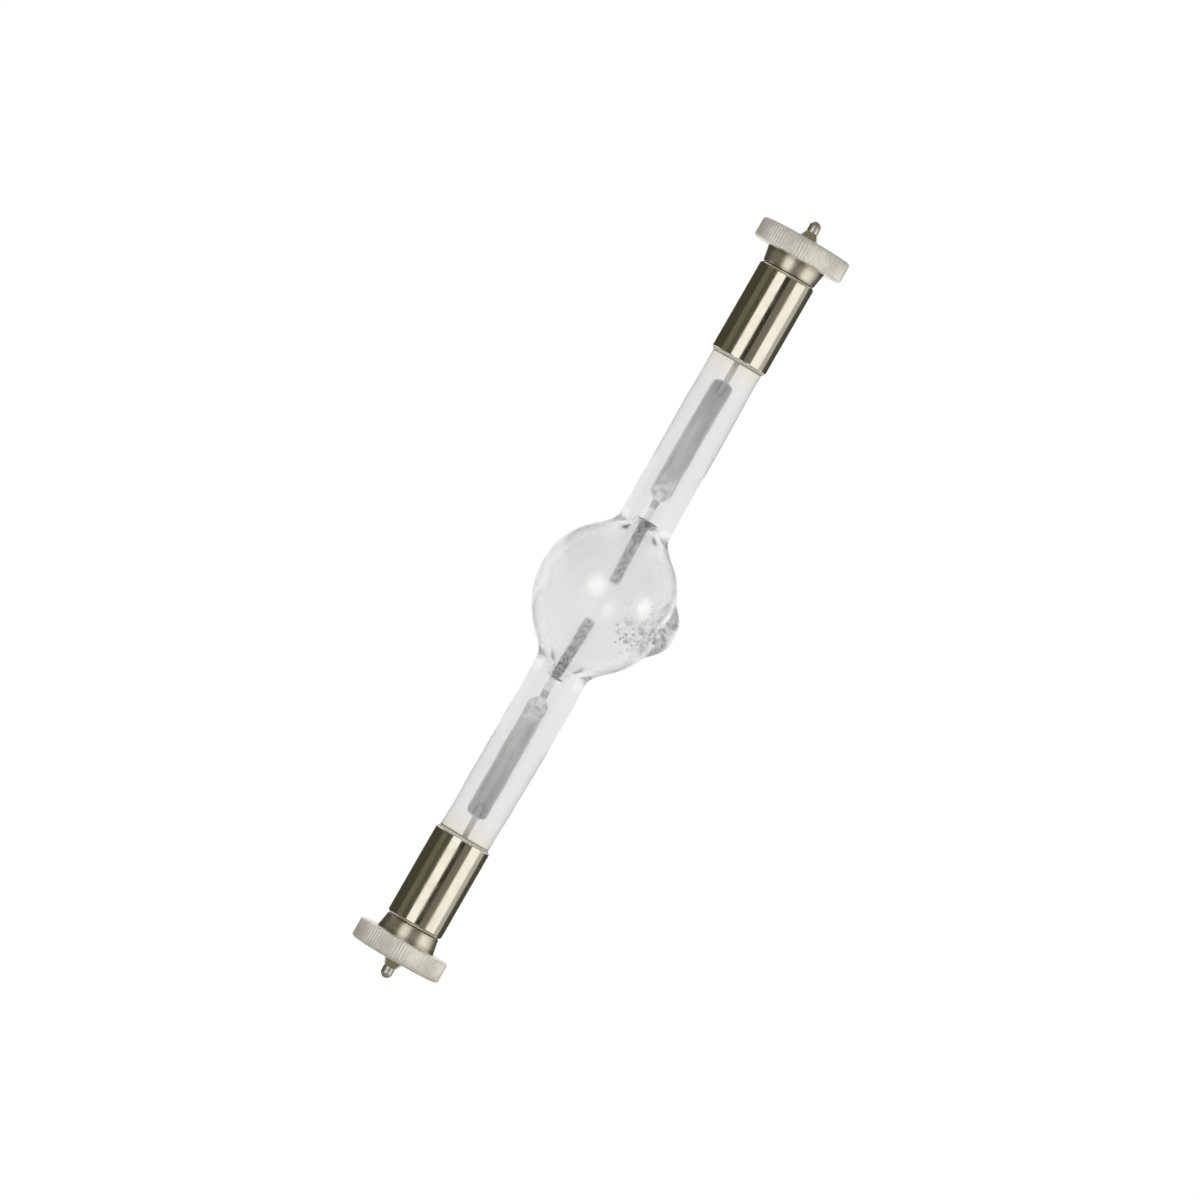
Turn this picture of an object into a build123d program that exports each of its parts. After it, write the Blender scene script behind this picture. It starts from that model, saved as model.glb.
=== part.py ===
from build123d import *
import os
from math import cos, radians, sin, sqrt, tan

# Double-ended metal halide lamp, in millimetres.
# The lamp's axis is X and the middle of the arc is the origin. The exhaust tip points to -Y.
# Places along the axis are distances from the arc's middle, the same at both ends of the lamp.

# Bulb: its widest ring, the two arcs of its outline and the cones that run into the stems
# Each arc's centre lies past the axis, so that the bulb is a little flatter than a ball
bulb_radius = 11.95
bulb_wall = 2.1
widest_at = 1.0
right_arc_past_axis = 1.15
right_arc_angle = 49.0
left_arc_past_axis = 3.4
left_arc_angle = 46.5
stem_diameter = 9.2
stem_blend = 3.0

# Discharge space: the tapered necks round the electrodes and the domes that close them
neck_mouth_radius = 2.4
neck_end_radius = 1.25
neck_length = 1.9
neck_blend = 2.0
dome_depth = 1.0

# Exhaust tip, where the filling tube was melted off
tip_at = 0.3
tip_rise = 1.85
tip_shoulder_radius = 2.3
tip_shoulder_drop = 0.3
tip_radius = 3.3
tip_radius_drop = 1.4
tip_flare_radius = 4.9
tip_flare_slope = 0.35
tip_bite = 0.1
hollow_mouth_radius = 1.6
hollow_end_radius = 0.9
hollow_end_round = 0.45
tip_end_wall = 1.2

# Tungsten electrodes
arc_gap = 7.0
electrode_diameter = 1.8
electrode_chamfer = 0.35
head_gap = 0.4
tail_diameter = 0.9

# Molybdenum foils, rolled flat and lapped by the wires at both ends
seal_length = 3.7
foil_length = 22.7
foil_width = 2.4
foil_thickness = 0.05
foil_taper_length = 1.5
foil_taper_width = 0.75
tail_lap = 1.6
lead_lap = 2.3
lead_diameter = 0.7
lead_in_glass = 4.3
seal_clearance = 0.01

# Caps, turned from brass: a thin ferrule, its end wall and the M4 stud
ferrule_diameter = 10.2
ferrule_wall = 0.3
ferrule_length = 16.5
end_wall = 2.0
shoulder_round = 0.6
rim_round = 0.12
thread_diameter = 4.0
thread_length = 6.5
undercut_diameter = 3.2
undercut_width = 0.6
stud_cone_length = 1.5
stud_tip_diameter = 2.1
stud_bore_clearance = 0.1

# Cement between the quartz and the ferrule
cement_plug = 3.6
meniscus_length = 0.45
meniscus_rise = 0.1

# Solder bead that joins the lead to the stud
bead_inset = 0.05
bead_length = 2.0
lead_cover = 0.8

# Knurled nuts
nut_clearance = 0.05
seat_gap = 0.05
hub_length = 2.8
hub_seat_diameter = 9.6
hub_disc_diameter = 10.6
disc_diameter = 16.4
disc_width = 3.65
disc_chamfer = 0.35
bore_countersink = 0.5
knurl_count = 90
knurl_depth = 0.2
knurl_width = 0.4

# Mercury and halide droplets, condensed on the bulb's inner wall round the tip's hollow
droplet_count = 8
droplet_radii = (0.34, 0.27, 0.21)
droplet_gap = 0.01
droplet_margin = 0.5
droplet_spread = 4.2
golden_angle = 137.5


def cone_foot(crown_radius, past_axis, angle, foot_radius):
    """How far from the widest ring the cone that leaves an arc comes down to a given radius."""
    arc_radius = crown_radius + past_axis
    cone_start = arc_radius * cos(radians(angle)) - past_axis
    return arc_radius * sin(radians(angle)) + (cone_start - foot_radius) / tan(radians(angle))


# Sizes that follow from the ones above
stem_radius = stem_diameter / 2
inner_radius = bulb_radius - bulb_wall
right_foot = widest_at + cone_foot(bulb_radius, right_arc_past_axis, right_arc_angle, stem_radius)
left_foot = widest_at - cone_foot(bulb_radius, left_arc_past_axis, left_arc_angle, stem_radius)
right_neck = widest_at + cone_foot(inner_radius, right_arc_past_axis, right_arc_angle, neck_mouth_radius)
left_neck = widest_at - cone_foot(inner_radius, left_arc_past_axis, left_arc_angle, neck_mouth_radius)
dome_start = max(right_neck, -left_neck) + neck_length
cavity_end = dome_start + dome_depth
foil_start = cavity_end + seal_length
foil_end = foil_start + foil_length
cap_rim_at = foil_end + lead_in_glass
shoulder_at = cap_rim_at + ferrule_length
floor_at = shoulder_at - end_wall
stem_end = floor_at - cement_plug
thread_end = shoulder_at + thread_length
stud_tip_at = thread_end + stud_cone_length
bead_end = stud_tip_at + bead_length
lead_end = bead_end - lead_cover
tail_radius = tail_diameter / 2
lead_radius = lead_diameter / 2
tail_end = foil_start + tail_lap
lead_start = foil_end - lead_lap
foil_underside = -tail_radius - foil_thickness
lead_height = lead_radius - tail_radius
stud_bore_radius = lead_radius + abs(lead_height) + stud_bore_clearance
ferrule_radius = ferrule_diameter / 2
ferrule_bore_radius = ferrule_radius - ferrule_wall
tip_end = bulb_radius + tip_rise

sides = {"left": -1, "right": 1}


def along(side):
    """Plane through the axis: its x runs outwards along the lamp, its y is the radius."""
    return Plane(origin=(0, 0, 0), x_dir=(side, 0, 0), z_dir=(0, 0, 1))


def across(side, distance):
    """Plane square to the axis, facing outwards, with its y straight up."""
    return Plane(origin=(side * distance, 0, 0), x_dir=(0, side, 0), z_dir=(side, 0, 0))


def finish(piece, name):
    """Label a sub-part and write it to its own file."""
    piece.part.label = name
    export_step(piece.part, f"parts/{name}.step")


def bulb_arcs(crown_radius):
    """The two arcs of the bulb's outline, from its widest ring to where each cone begins."""
    crown = (widest_at, crown_radius)
    left = JernArc(crown, (-1, 0), crown_radius + left_arc_past_axis, left_arc_angle)
    right = JernArc(crown, (1, 0), crown_radius + right_arc_past_axis, -right_arc_angle)
    return left, right


def foil_outline(clearance):
    """A foil's outline in its own plane, tapered at both ends."""
    start = foil_start - clearance
    end = foil_end + clearance
    edge = foil_width / 2 + clearance
    tip = edge - foil_taper_width
    Polyline((start, 0), (start, tip), (start + foil_taper_length, edge),
             (end - foil_taper_length, edge), (end, tip), (end, 0))
    mirror(about=Plane.XZ)


os.makedirs("parts", exist_ok=True)

# Quartz envelope: the bulb with its two solid stems, in one blown and pinched piece
with BuildPart() as quartz_envelope:
    with BuildSketch(Plane.XY) as outside:
        with BuildLine():
            left_arc, right_arc = bulb_arcs(bulb_radius)
            Polyline(right_arc @ 1, (right_foot, stem_radius), (stem_end, stem_radius), (stem_end, 0),
                     (-stem_end, 0), (-stem_end, stem_radius), (left_foot, stem_radius), left_arc @ 1)
        make_face()
        feet = outside.vertices().group_by(Axis.Y)[1].sort_by(Axis.X)[1:3]
        fillet(feet, stem_blend)
    revolve(axis=Axis.X)

    # Exhaust tip, a low boss that flares into the bulb
    tip_axis = Axis((tip_at, 0, 0), (0, 1, 0))
    flare_depth = tip_flare_radius**2 / (2 * bulb_radius) + tip_bite
    with BuildSketch(Plane.XY):
        with BuildLine():
            skin = Spline(
                (tip_at, -tip_end),
                (tip_at + tip_shoulder_radius, tip_shoulder_drop - tip_end),
                (tip_at + tip_radius, tip_radius_drop - tip_end),
                (tip_at + tip_flare_radius, flare_depth - bulb_radius),
                tangents=((1, 0), (1, tip_flare_slope)),
            )
            Polyline(skin @ 1, (tip_at + tip_flare_radius, -inner_radius), (tip_at, -inner_radius), skin @ 0)
        make_face()
    revolve(axis=tip_axis)

    # Discharge space, inside an even wall
    with BuildSketch(Plane.XY) as inside:
        with BuildLine():
            left_arc, right_arc = bulb_arcs(inner_radius)
            Polyline(left_arc @ 1, (left_neck, neck_mouth_radius), (-dome_start, neck_end_radius))
            Polyline(right_arc @ 1, (right_neck, neck_mouth_radius), (dome_start, neck_end_radius))
            left_dome = Spline((-dome_start, neck_end_radius), (-cavity_end, tail_radius),
                               tangents=((-1, 0), (0, -1)))
            right_dome = Spline((dome_start, neck_end_radius), (cavity_end, tail_radius),
                                tangents=((1, 0), (0, -1)))
            Polyline(right_dome @ 1, (cavity_end, 0), (-cavity_end, 0), left_dome @ 1)
        make_face()
        mouths = [corner for corner in inside.vertices() if abs(corner.Y - neck_mouth_radius) < seal_clearance]
        fillet(mouths, neck_blend)
    revolve(axis=Axis.X, mode=Mode.SUBTRACT)

    # Hollow that the closed-off filling tube left inside the tip
    hollow_end = tip_end - tip_end_wall
    with BuildSketch(Plane.XY) as hollow:
        with BuildLine():
            Polyline((tip_at, hollow_mouth_radius - inner_radius), (tip_at, -hollow_end),
                     (tip_at + hollow_end_radius, -hollow_end),
                     (tip_at + hollow_mouth_radius, hollow_mouth_radius - inner_radius), close=True)
        make_face()
        fillet(hollow.vertices().group_by(Axis.Y)[0].sort_by(Axis.X)[-1], hollow_end_round)
    revolve(axis=tip_axis, mode=Mode.SUBTRACT)

    # Seals: the quartz is pressed tight round each tail, foil and lead
    for side in sides.values():
        with BuildSketch(across(side, cavity_end - dome_depth)):
            Circle(tail_radius + seal_clearance)
        extrude(amount=tail_end + seal_clearance - cavity_end + dome_depth, mode=Mode.SUBTRACT)
        with BuildSketch(along(side).offset(foil_underside - seal_clearance)):
            with BuildLine():
                foil_outline(seal_clearance)
            make_face()
        extrude(amount=foil_thickness + 2 * seal_clearance, mode=Mode.SUBTRACT)
        with BuildSketch(across(side, lead_start - seal_clearance)):
            with Locations((0, lead_height)):
                Circle(lead_radius + seal_clearance)
        extrude(amount=stem_end - lead_start + seal_clearance, mode=Mode.SUBTRACT)
finish(quartz_envelope, "quartz_envelope")

for end, side in sides.items():
    # Electrode: a thick head in the bulb and a thin tail that laps the foil
    with BuildPart() as electrode:
        head_end = cavity_end - head_gap
        with BuildSketch(along(side)) as section:
            with BuildLine():
                Polyline((arc_gap / 2, 0), (arc_gap / 2, electrode_diameter / 2),
                         (head_end, electrode_diameter / 2), (head_end, tail_radius),
                         (tail_end, tail_radius), (tail_end, 0), close=True)
            make_face()
            chamfer(section.vertices().group_by(Axis.Y)[-1], electrode_chamfer)
        revolve(axis=Axis.X)
    finish(electrode, f"electrode_{end}")

    # Foil: a ribbon thin enough for the quartz to seal on it
    with BuildPart() as foil:
        with BuildSketch(along(side).offset(foil_underside)):
            with BuildLine():
                foil_outline(0)
            make_face()
        extrude(amount=foil_thickness)
    finish(foil, f"foil_{end}")

    # Outer lead: from the foil out through the stud
    with BuildPart() as outer_lead:
        with BuildSketch(across(side, lead_start)):
            with Locations((0, lead_height)):
                Circle(lead_radius)
        extrude(amount=lead_end - lead_start)
    finish(outer_lead, f"outer_lead_{end}")

    # Cap: ferrule, end wall and stud in one turning
    with BuildPart() as cap:
        with BuildSketch(along(side)) as turning:
            with BuildLine():
                Polyline(
                    (cap_rim_at, ferrule_bore_radius),
                    (cap_rim_at, ferrule_radius),
                    (shoulder_at, ferrule_radius),
                    (shoulder_at, undercut_diameter / 2),
                    (shoulder_at + undercut_width, undercut_diameter / 2),
                    (shoulder_at + undercut_width, thread_diameter / 2),
                    (thread_end, thread_diameter / 2),
                    (stud_tip_at, stud_tip_diameter / 2),
                    (stud_tip_at, stud_bore_radius),
                    (floor_at, stud_bore_radius),
                    (floor_at, ferrule_bore_radius),
                    close=True,
                )
            make_face()
            fillet(turning.vertices().group_by(Axis.Y)[-1].sort_by(Axis.X)[0], rim_round)
            fillet(turning.vertices().group_by(Axis.Y)[-1].sort_by(Axis.X)[-1], shoulder_round)
        revolve(axis=Axis.X)
    finish(cap, f"cap_{end}")

    # Cement: a thin ring between quartz and ferrule, a plug behind the stem, a bead at the rim
    with BuildPart() as cement:
        with BuildSketch(along(side)):
            with BuildLine():
                Polyline(
                    (cap_rim_at - meniscus_length, stem_radius),
                    (cap_rim_at, ferrule_bore_radius + meniscus_rise),
                    (cap_rim_at, ferrule_bore_radius),
                    (floor_at, ferrule_bore_radius),
                    (floor_at, 0),
                    (stem_end, 0),
                    (stem_end, stem_radius),
                    close=True,
                )
            make_face()
        revolve(axis=Axis.X)
        with BuildSketch(across(side, stem_end)):
            with Locations((0, lead_height)):
                Circle(lead_radius)
        extrude(amount=cement_plug, mode=Mode.SUBTRACT)
    finish(cement, f"cement_{end}")

    # Solder bead: a round-topped drop on the stud's tip, over the end of the lead
    with BuildPart() as solder_bead:
        bead_radius = stud_tip_diameter / 2 - bead_inset
        with BuildSketch(along(side)):
            with BuildLine():
                top = JernArc((bead_end, 0), (0, 1), bead_radius, 90)
                Polyline(top @ 1, (stud_tip_at, bead_radius), (stud_tip_at, 0), (bead_end, 0))
            make_face()
        revolve(axis=Axis.X)
        with BuildSketch(across(side, stud_tip_at)):
            with Locations((0, lead_height)):
                Circle(lead_radius)
        extrude(amount=lead_end - stud_tip_at, mode=Mode.SUBTRACT)
    finish(solder_bead, f"solder_bead_{end}")

    # Knurled nut: a disc with straight knurling and a tapered hub that seats on the shoulder
    with BuildPart() as knurled_nut:
        seat_at = shoulder_at + seat_gap
        disc_at = seat_at + hub_length
        nut_end = disc_at + disc_width
        nut_bore_radius = thread_diameter / 2 + nut_clearance
        with BuildSketch(along(side)) as nut_section:
            with BuildLine():
                Polyline(
                    (seat_at, nut_bore_radius),
                    (seat_at, hub_seat_diameter / 2),
                    (disc_at, hub_disc_diameter / 2),
                    (disc_at, disc_diameter / 2),
                    (nut_end, disc_diameter / 2),
                    (nut_end, nut_bore_radius),
                    close=True,
                )
            make_face()
            chamfer(nut_section.vertices().group_by(Axis.Y)[-1], disc_chamfer)
            chamfer(nut_section.vertices().group_by(Axis.Y)[0], bore_countersink)
        revolve(axis=Axis.X)
        with BuildSketch(across(side, disc_at)):
            with PolarLocations(disc_diameter / 2, knurl_count):
                groove = [(-knurl_depth, 0), (knurl_depth, -knurl_width), (knurl_depth, knurl_width)]
                Polygon(*groove, align=None)
        extrude(amount=disc_width, mode=Mode.SUBTRACT)
    finish(knurled_nut, f"knurled_nut_{end}")

# Droplets: round beads that touch the inner wall in a loose ring about the tip's hollow
with BuildPart() as fill_droplets:
    for number in range(droplet_count):
        droplet_radius = droplet_radii[number % len(droplet_radii)]
        reach = hollow_mouth_radius + droplet_margin + droplet_spread * sqrt(number / droplet_count)
        turn = radians(number * golden_angle)
        past_axis = right_arc_past_axis if cos(turn) > 0 else left_arc_past_axis
        lean = reach * cos(turn) / (inner_radius + past_axis)
        roll = reach * sin(turn) / inner_radius
        from_centre = inner_radius + past_axis - droplet_radius - droplet_gap
        radial = from_centre * cos(lean) - past_axis
        with Locations((widest_at + from_centre * sin(lean), -radial * cos(roll), radial * sin(roll))):
            Sphere(droplet_radius)
finish(fill_droplets, "fill_droplets")
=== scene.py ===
# %% [markdown]
# # A double-ended metal halide lamp
# The lamp burns an arc between two tungsten electrodes inside a small quartz bulb. Flat foils
# carry the current through the solid stems, and a plated cap with a threaded stud and a knurled
# nut holds each end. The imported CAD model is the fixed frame: it says where every piece is.
# This lesson gives the pieces their fine shapes, their finishes and the light of the photograph.

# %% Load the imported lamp
from math import cos, pi, radians, sin, sqrt, tan

import bpy
import numpy as np
from mathutils import Matrix, Vector


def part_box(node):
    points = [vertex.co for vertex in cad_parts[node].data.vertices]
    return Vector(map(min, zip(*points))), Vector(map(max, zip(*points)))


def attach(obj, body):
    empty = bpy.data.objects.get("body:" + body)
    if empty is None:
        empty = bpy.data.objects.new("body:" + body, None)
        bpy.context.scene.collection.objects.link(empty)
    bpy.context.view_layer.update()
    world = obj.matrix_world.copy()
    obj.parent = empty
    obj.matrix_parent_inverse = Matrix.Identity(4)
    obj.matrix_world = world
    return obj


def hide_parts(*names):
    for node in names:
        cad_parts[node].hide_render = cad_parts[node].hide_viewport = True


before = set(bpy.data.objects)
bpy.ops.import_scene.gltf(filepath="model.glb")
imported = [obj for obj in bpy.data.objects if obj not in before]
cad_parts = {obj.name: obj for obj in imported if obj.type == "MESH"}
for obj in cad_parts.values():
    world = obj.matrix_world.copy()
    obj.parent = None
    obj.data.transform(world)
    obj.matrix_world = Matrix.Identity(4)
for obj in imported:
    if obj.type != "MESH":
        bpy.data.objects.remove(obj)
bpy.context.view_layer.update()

mm = 0.001
print("CAD nodes:", ", ".join(sorted(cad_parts)))

# %% [markdown]
# ## Places
# Every piece that is made here has to meet the CAD pieces, so the places come from the boxes of
# the CAD nodes. The lamp's axis is X, the middle of the arc is the origin, the exhaust tip
# points to -Y and the camera looks down from +Z. Both ends of the lamp are alike, so one end
# is described with distances from the middle, and a side of 1 or -1 says which end it is.

# %% Read the places of one end
glass_low, glass_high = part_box("quartz_envelope")
cap_low, cap_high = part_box("cap_right")
nut_low, nut_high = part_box("knurled_nut_right")
foil_low, foil_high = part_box("foil_right")
electrode_low, electrode_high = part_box("electrode_right")

sides = {"left": -1, "right": 1}
stem_end = glass_high.x
bulb_radius = glass_high.z
tip_end = -glass_low.y
cap_rim = cap_low.x
stud_tip = cap_high.x
cap_radius = cap_high.y
print(f"bulb radius {bulb_radius / mm:.2f}, caps from {cap_rim / mm:.2f} to {stud_tip / mm:.2f} mm")

# %% [markdown]
# ## Camera
# The photograph looks straight down on the lamp from far away, so a long lens stands 1.5 m above
# it and takes in a square of 200 mm. The lamp leans in the picture because the camera is turned
# about its own line of sight, which keeps the lamp's frame as the CAD has it.

# %% Put an object in the scene
def placed(name, data):
    """An object made of that data, put in the scene."""
    made = bpy.data.objects.new(name, data)
    bpy.context.scene.collection.objects.link(made)
    return made


# %% Set the camera over the lamp
camera_height = 1.5
view_width = 0.2
lamp_slope = radians(60.1)
off_centre = (-0.13 * mm, -0.03 * mm)

camera_data = bpy.data.cameras.new("camera")
camera_data.sensor_width = 36.0
camera_data.lens = camera_data.sensor_width * camera_height / view_width
camera_data.clip_end = 20.0
camera = placed("camera", camera_data)
turn = Matrix.Rotation(-lamp_slope, 4, "Z")
camera.matrix_world = turn @ Matrix.Translation((*off_centre, camera_height))
bpy.context.scene.camera = camera
bpy.context.scene.view_settings.view_transform = "Standard"
print(f"camera lens {camera_data.lens:.0f} mm")

# %% Let light go on through the glass
# Light that turns back inside the quartz many times would otherwise end in black patches
light_paths = bpy.context.scene.cycles
light_paths.max_bounces = 96
light_paths.glossy_bounces = 80
light_paths.transmission_bounces = 80

# %% [markdown]
# ## Node helpers
# Finishes and Geometry Nodes trees are both made of nodes. One helper adds a node, sets its
# choices and feeds its inputs, and a few short ones stand for the sums that come up again and
# again. Inputs are named by their label or by their number.

# %% Add and feed nodes
def add(tree, kind, feeds=None, **choices):
    """Add a node, set its choices and feed its inputs with other nodes' outputs or with values."""
    made = tree.nodes.new(kind)
    for name, value in choices.items():
        setattr(made, name, value)
    for name, value in (feeds or {}).items():
        if isinstance(value, bpy.types.NodeSocket):
            tree.links.new(value, made.inputs[name])
        else:
            made.inputs[name].default_value = value
    return made


def sums(tree, operation, *values):
    """One sum on numbers."""
    return add(tree, "ShaderNodeMath", dict(enumerate(values)), operation=operation).outputs[0]


def times(tree, first, second):
    """Two numbers multiplied, which is also how one mask limits another."""
    return sums(tree, "MULTIPLY", first, second)


def rise(tree, value, low, high, start=0.0, end=1.0):
    """A smooth step from start to end while the value goes from low to high."""
    feeds = {0: value, 1: low, 2: high, 3: start, 4: end}
    return add(tree, "ShaderNodeMapRange", feeds, interpolation_type="SMOOTHSTEP").outputs[0]


def mixed(tree, amount, first, second, way="MIX"):
    """Two colours, mixed by an amount."""
    feeds = {0: amount, 6: first, 7: second}
    return add(tree, "ShaderNodeMix", feeds, data_type="RGBA", blend_type=way).outputs[2]


def grey(level, warmth=0.0):
    """A grey, a little warmer or cooler than neutral."""
    return (level * (1 + warmth), level, level * (1 - warmth), 1.0)


# %% [markdown]
# ## Floor and world
# The photograph has a pure white ground. The floor and the world show the eye, the glass and the
# metal a plain white, by the kind of ray that asks, and light the lamp's matt pieces at a plain
# level. A share of the floor stays matt, so that it keeps the lamp's shadow.

# %% Find the rays that should see white
def white_rays(tree):
    """1 for rays from the camera and for reflected or refracted ones, 0 for the rest."""
    path = tree.nodes.new("ShaderNodeLightPath").outputs
    seen = sums(tree, "MAXIMUM", path["Is Camera Ray"], path["Is Glossy Ray"])
    return sums(tree, "MAXIMUM", seen, path["Is Transmission Ray"])


# %% Make the world
world = bpy.data.worlds.new("studio")
bpy.context.scene.world = world
world.use_nodes = True
room = world.node_tree
fill_light = 0.72
room_level = rise(room, white_rays(room), 0.0, 1.0, fill_light, 1.0)
room.links.new(room_level, room.nodes["Background"].inputs["Strength"])
room.nodes["Background"].inputs["Color"].default_value = (1.0, 1.0, 1.0, 1.0)
print("world lights matt pieces at", fill_light)

# %% Lay the floor
def flat_face(name, length, width, where):
    """A mesh of one flat face of that size, which a matrix puts in its place."""
    corners = [(x * length / 2, y * width / 2, 0) for x, y in ((-1, -1), (1, -1), (1, 1), (-1, 1))]
    mesh = bpy.data.meshes.new(name)
    mesh.from_pydata([where @ Vector(corner) for corner in corners], [], [(0, 1, 2, 3)])
    return mesh


floor_depth = 90 * mm
floor_width = 6.0
floor_tone, floor_glow, glow_share = grey(0.9), 1.06, 0.85
under_lamp = Matrix.Translation((0, 0, -floor_depth))
floor = placed("floor", flat_face("floor", floor_width, floor_width, under_lamp))

floor_paint = bpy.data.materials.new("floor_paint")
floor_paint.use_nodes = True
paint = floor_paint.node_tree
matt = paint.nodes["Principled BSDF"]
matt.inputs["Base Color"].default_value = floor_tone
matt.inputs["Roughness"].default_value = 0.9
glow = add(paint, "ShaderNodeEmission", {"Color": grey(1.0), "Strength": floor_glow})
shown = times(paint, white_rays(paint), glow_share)
both = add(paint, "ShaderNodeMixShader", {0: shown, 1: matt.outputs[0], 2: glow.outputs[0]})
paint.links.new(both.outputs[0], paint.nodes["Material Output"].inputs["Surface"])
floor.data.materials.append(floor_paint)
print("floor lies", floor_depth / mm, "mm under the lamp's axis")

# %% [markdown]
# ## Light and cards
# A plated cap looks like a row of stripes along its length, because it mirrors the studio. In
# the photograph the stripes are, from the side away from the tip: dark, a bright line, a narrow
# black one, a dim one, a broad bright one and a dark edge. A cylinder shows a thing at twice the
# angle of its own slope, which turns each stripe into a card at a known angle. The cards are
# seen by reflections alone. Most of them run from cap to cap. Those that hang level with the
# lamp or under it stop short of the bulb, so that its glass stays pale.

# %% Hang a card
def card(name, centre, size, tilt, colour, strength=1.0):
    """A glowing card that only reflections see. It spans X, and tilt turns it about X."""
    hang = Matrix.Translation(centre) @ Matrix.Rotation(tilt, 4, "X")
    hung = placed(name, flat_face(name, *size, hang))
    paper = bpy.data.materials.new(name)
    paper.use_nodes = True
    tree = paper.node_tree
    tree.nodes.remove(tree.nodes["Principled BSDF"])
    shine = add(tree, "ShaderNodeEmission", {"Color": colour, "Strength": strength})
    tree.links.new(shine.outputs[0], tree.nodes["Material Output"].inputs["Surface"])
    hung.data.materials.append(paper)
    for kind in ("camera", "diffuse", "transmission", "volume_scatter", "shadow"):
        setattr(hung, "visible_" + kind, False)
    return hung


# %% Hang the cards of both caps
black = (0.032, 0.030, 0.020, 1.0)
olive = (0.140, 0.135, 0.084, 1.0)
moss = (0.080, 0.076, 0.050, 1.0)
umber = (0.170, 0.155, 0.120, 1.0)
cream = (1.0, 0.985, 0.90, 1.0)
through_reach, cap_cards_from, cap_cards_to = 200 * mm, 28 * mm, 110 * mm
# Each row: name, start angle, end angle, distance, paint, strength, and whether the card runs
# from cap to cap. The angles are from straight up towards +Y.
stripes = (
    ("away_low", 84, 180, 90 * mm, moss, 0.75, False),
    ("away", 58, 88, 150 * mm, olive, 1.0, True),
    ("away_high", 37, 60, 140 * mm, moss, 1.0, True),
    ("over", 1, 40, 430 * mm, cream, 1.02, True),
    ("port", -18, 2, 420 * mm, black, 1.0, True),
    ("dim", -46, -17, 300 * mm, umber, 1.0, True),
    ("near", -90, -45, 310 * mm, cream, 1.0, True),
    ("near_low", -114, -88, 160 * mm, cream, 0.45, False),
    ("below", -180, -112, 90 * mm, moss, 0.9, False),
)


def arc_card(name, start, end, distance, colour, strength, inner, outer):
    """A card square to its own middle angle, as wide as the two angles ask."""
    angle = radians((start + end) / 2)
    wide = 2 * distance * tan(radians(end - start) / 2)
    centre = ((inner + outer) / 2, distance * sin(angle), distance * cos(angle))
    return card(name, centre, (abs(outer - inner), wide), -angle, colour, strength)


for name, start, stop, distance, colour, strength, runs_through in stripes:
    if runs_through:
        inner, outer = -through_reach, through_reach
        arc_card("card_" + name, start, stop, distance, colour, strength, inner, outer)
        continue
    for end, side in sides.items():
        inner, outer = side * cap_cards_from, side * cap_cards_to
        arc_card(f"card_{name}_{end}", start, stop, distance, colour, strength, inner, outer)

# %% Stand a dim screen beyond each end
screen_size, screen_reach, screen_lift = (300 * mm, 500 * mm), 150 * mm, 60 * mm
screen_strength = 2.2
for end, side in sides.items():
    screen = card(f"screen_{end}", (0, 0, 0), screen_size, 0.0, moss, screen_strength)
    stand = Matrix.Translation((side * screen_reach, 0, screen_lift))
    screen.data.transform(stand @ Matrix.Rotation(pi / 2, 4, "Y"))

# %% Hang the soft lamp
soft_light = bpy.data.lights.new("soft_light", "AREA")
soft_light.size = 0.5
soft_light.energy = 2.2
soft_lamp = placed("soft_lamp", soft_light)
soft_lamp.location = (0.15, 0.25, 0.9)
soft_lamp.rotation_euler = Vector(soft_lamp.location).to_track_quat("Z", "Y").to_euler()
soft_lamp.visible_glossy = False
soft_lamp.visible_transmission = False

# %% Measure distances and feed a shader
def far_from(tree, place, point=(0, 0, 0)):
    """How far each place lies from a point."""
    feeds = {0: place, 1: point}
    return add(tree, "ShaderNodeVectorMath", feeds, operation="DISTANCE").outputs["Value"]


def give(tree, shader, **values):
    """Feed a shader's inputs with patterns."""
    for label, value in values.items():
        tree.links.new(value, shader.inputs[label.replace("_", " ")])


# %% Hang the soft windows that shine on the bulb
def soft_window(name, centre, width, tilt, strength):
    """A bright card that fades out towards its edge, small and close so that the stems miss it."""
    window = card(name, centre, (width, width), tilt, cream, strength)
    tree = window.data.materials[0].node_tree
    shine = next(n for n in tree.nodes if n.bl_idname == "ShaderNodeEmission")
    place = tree.nodes.new("ShaderNodeTexCoord").outputs["Object"]
    away = far_from(tree, place, centre)
    give(tree, shine, Strength=rise(tree, away, width * 0.5, width * 0.1, 0.0, strength))
    clear = tree.nodes.new("ShaderNodeBsdfTransparent")
    seen = rise(tree, away, width * 0.5, width * 0.4)
    both = add(tree, "ShaderNodeMixShader", {0: seen, 1: clear.outputs[0], 2: shine.outputs[0]})
    tree.links.new(both.outputs[0], tree.nodes["Material Output"].inputs["Surface"])


# Each row: name, middle and width in mm, tilt in radians, strength
windows = (
    ("window_over", (6, 11.5, 39), 32, -0.36, 6.0),
    ("window_under", (-8.2, -10, 40), 20, 0.28, 3.6),
    ("window_near", (5.5, -23.2, 15.4), 19, 1.24, 7.0),
)
for name, middle, width, tilt, strength in windows:
    soft_window(name, tuple(v * mm for v in middle), width * mm, tilt, strength)
print("one soft lamp and", len(windows), "windows are up")

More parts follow.
